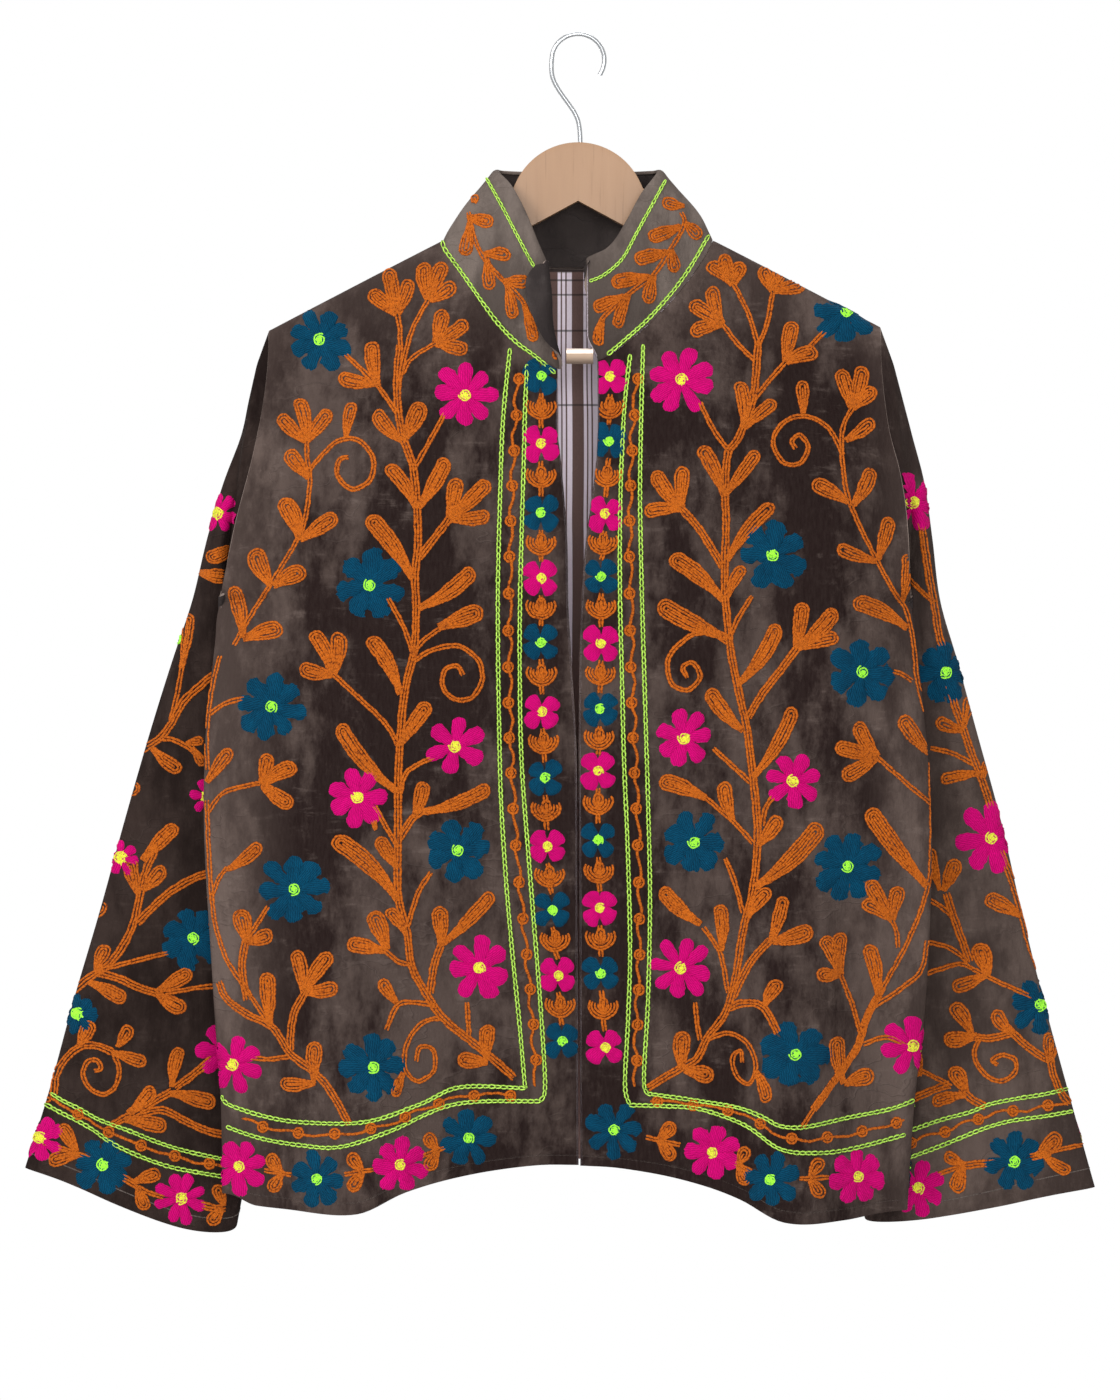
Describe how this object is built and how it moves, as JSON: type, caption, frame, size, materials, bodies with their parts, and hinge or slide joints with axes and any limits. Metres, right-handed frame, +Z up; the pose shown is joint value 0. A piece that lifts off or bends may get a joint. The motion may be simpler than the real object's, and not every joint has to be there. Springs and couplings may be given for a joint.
{
  "type": "embroidered velvet jacket on a hanger",
  "caption": "Open-fronted, hip-length velvet jacket with stand collar, wide sleeves and floral chain-stitch embroidery, hanging on a wooden hanger with a steel hook.",
  "frame": {"origin": "inner crest of the hanger's hook, where a rail carries it", "axes": "+Z up, the fronts face -Y, +X to the viewer's right (the wearer's left)"},
  "size_m": [0.776, 0.1223, 0.8666],
  "materials": {
    "velvet": "cotton velvet pile with chain-stitch wool embroidery",
    "lining": "smooth striped lining",
    "wood": "satin varnish",
    "steel": "polished wire",
    "clasp": "pale plated sheet metal"
  },
  "bodies": {
    "root": {"front_right": "velvet", "front_left": "velvet", "back": "velvet", "back_lining": "lining", "sleeve_right": "velvet", "sleeve_left": "velvet", "collar": "velvet", "clasp": "clasp", "hanger_body": "wood", "hanger_hook": "steel"}
  },
  "joints": []
}
